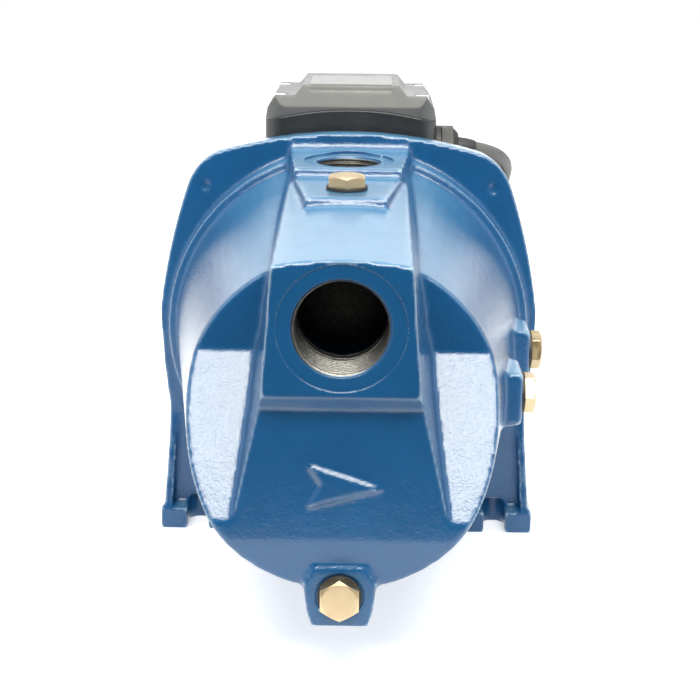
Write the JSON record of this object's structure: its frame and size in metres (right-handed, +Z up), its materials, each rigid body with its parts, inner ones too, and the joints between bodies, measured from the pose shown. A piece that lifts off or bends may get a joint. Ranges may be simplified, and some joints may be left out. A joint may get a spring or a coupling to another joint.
{
  "type": "shallow well jet pump",
  "caption": "Self-priming cast-iron jet pump: conical casing with front suction port, top discharge port and drain, close-coupled to a finned motor with terminal box and lead.",
  "frame": {"origin": "on the floor under the middle of the machine's outline (without its lead)", "axes": "+Y along the shaft from the suction port to the motor, +Z up, +X to the right seen from the suction side"},
  "size_m": [0.206, 0.5608, 0.2419],
  "materials": {
    "blue_enamel": "glossy blue enamel over sand-cast iron",
    "bracket_enamel": "glossy blue enamel over sand-cast iron",
    "brass": "machined, bright",
    "black_rubber": "matt black rubber",
    "filled_polymer": "glass-filled polymer",
    "zinc_steel": "zinc plated",
    "stainless": "brushed stainless steel",
    "seal_carbon": "carbon",
    "seal_ceramic": "alumina",
    "bearing_steel": "ground steel",
    "lamination": "stacked electrical steel",
    "copper": "varnished copper wire",
    "motor_grey": "dark grey coated die-cast aluminium",
    "cover_black": "satin black coated sheet steel",
    "fan_plastic": "moulded polymer",
    "box_dark": "near-black moulded polymer",
    "box_grey": "grey glossy moulded polymer",
    "label_white": "blank white label",
    "cream_plastic": "moulded polymer",
    "gland_black": "moulded polyamide",
    "cord_sheath": "rubber sheath",
    "plug_black": "moulded plug",
    "plug_nickel": "nickel-plated brass"
  },
  "bodies": {
    "pump": {"pump_body": "blue_enamel", "motor_bracket": "bracket_enamel", "ejector_nozzle": "brass", "body_oring": "black_rubber", "venturi_oring": "black_rubber", "cord_relief": "black_rubber", "venturi_tube": "filled_polymer", "diffuser": "filled_polymer", "flange_bolts": "zinc_steel", "tie_rods": "zinc_steel", "cover_screws": "zinc_steel", "fan_cover_screws": "zinc_steel", "backing_plate": "stainless", "seal_seat": "seal_ceramic", "front_bearing_outer_ring": "bearing_steel", "rear_bearing_outer_ring": "bearing_steel", "wave_spring": "bearing_steel", "capacitor_clip": "bearing_steel", "stator_core": "lamination", "stator_windings": "copper", "motor_housing": "motor_grey", "rear_shield": "motor_grey", "fan_cover": "cover_black", "terminal_box_base": "box_dark", "terminal_box_cover": "box_grey", "label_plate": "label_white", "terminal_block": "cream_plastic", "run_capacitor": "cream_plastic", "cable_gland": "gland_black", "gland_nut": "gland_black", "power_cord": "cord_sheath", "cord_coil": "cord_sheath", "cord_tail": "cord_sheath", "plug_housing": "plug_black", "plug_pins": "plug_nickel"},
    "rotor": {"rotor_shaft": "stainless", "rotor_core": "lamination", "impeller": "brass", "impeller_nut": "zinc_steel", "impeller_key": "stainless", "seal_rotor": "seal_carbon", "seal_spring": "stainless", "water_slinger": "black_rubber", "front_bearing_inner_ring": "bearing_steel", "rear_bearing_inner_ring": "bearing_steel", "cooling_fan": "fan_plastic", "fan_clip": "bearing_steel"},
    "priming_washer": {"priming_washer": "black_rubber"},
    "priming_plug": {"priming_plug": "brass"},
    "drain_washer": {"drain_washer": "black_rubber"},
    "drain_plug": {"drain_plug": "brass"},
    "suction_gauge_washer": {"suction_gauge_washer": "black_rubber"},
    "suction_gauge_plug": {"suction_gauge_plug": "brass"},
    "pressure_gauge_washer": {"pressure_gauge_washer": "black_rubber"},
    "pressure_gauge_plug": {"pressure_gauge_plug": "brass"}
  },
  "joints": [
    {"name": "rotor_spin", "type": "hinge", "parent": "pump", "child": "rotor", "pos_m": [0, 0, 0.115], "axis": [0, 1, 0], "continuous": true},
    {"name": "priming_travel", "type": "slide", "parent": "pump", "child": "priming_washer", "axis": [0, 0, 1], "range_m": [0, 0.0105]},
    {"name": "priming_turn", "type": "hinge", "parent": "priming_washer", "child": "priming_plug", "pos_m": [0, -0.11, 0.206], "axis": [0, 0, 1], "range_deg": [0, 2830]},
    {"name": "drain_travel", "type": "slide", "parent": "pump", "child": "drain_washer", "axis": [0, -1, 0], "range_m": [0, 0.0105]},
    {"name": "drain_turn", "type": "hinge", "parent": "drain_washer", "child": "drain_plug", "pos_m": [0, -0.2094, 0.0443], "axis": [0, -1, 0], "range_deg": [0, 2830]},
    {"name": "suction_gauge_travel", "type": "slide", "parent": "pump", "child": "suction_gauge_washer", "axis": [1, 0, 0], "range_m": [0, 0.0105]},
    {"name": "suction_gauge_turn", "type": "hinge", "parent": "suction_gauge_washer", "child": "suction_gauge_plug", "pos_m": [0.0836, -0.129, 0.113], "axis": [1, 0, 0], "range_deg": [0, 2830]},
    {"name": "pressure_gauge_travel", "type": "slide", "parent": "pump", "child": "pressure_gauge_washer", "axis": [1, 0, 0], "range_m": [0, 0.0105]},
    {"name": "pressure_gauge_turn", "type": "hinge", "parent": "pressure_gauge_washer", "child": "pressure_gauge_plug", "pos_m": [0.0928, -0.067, 0.116], "axis": [1, 0, 0], "range_deg": [0, 2830]}
  ],
  "couplings": [
    {"joint": "priming_turn", "follows": "priming_travel", "rad_per_m": 4699.5},
    {"joint": "drain_turn", "follows": "drain_travel", "rad_per_m": 4699.5},
    {"joint": "suction_gauge_turn", "follows": "suction_gauge_travel", "rad_per_m": 4699.5},
    {"joint": "pressure_gauge_turn", "follows": "pressure_gauge_travel", "rad_per_m": 4699.5}
  ]
}
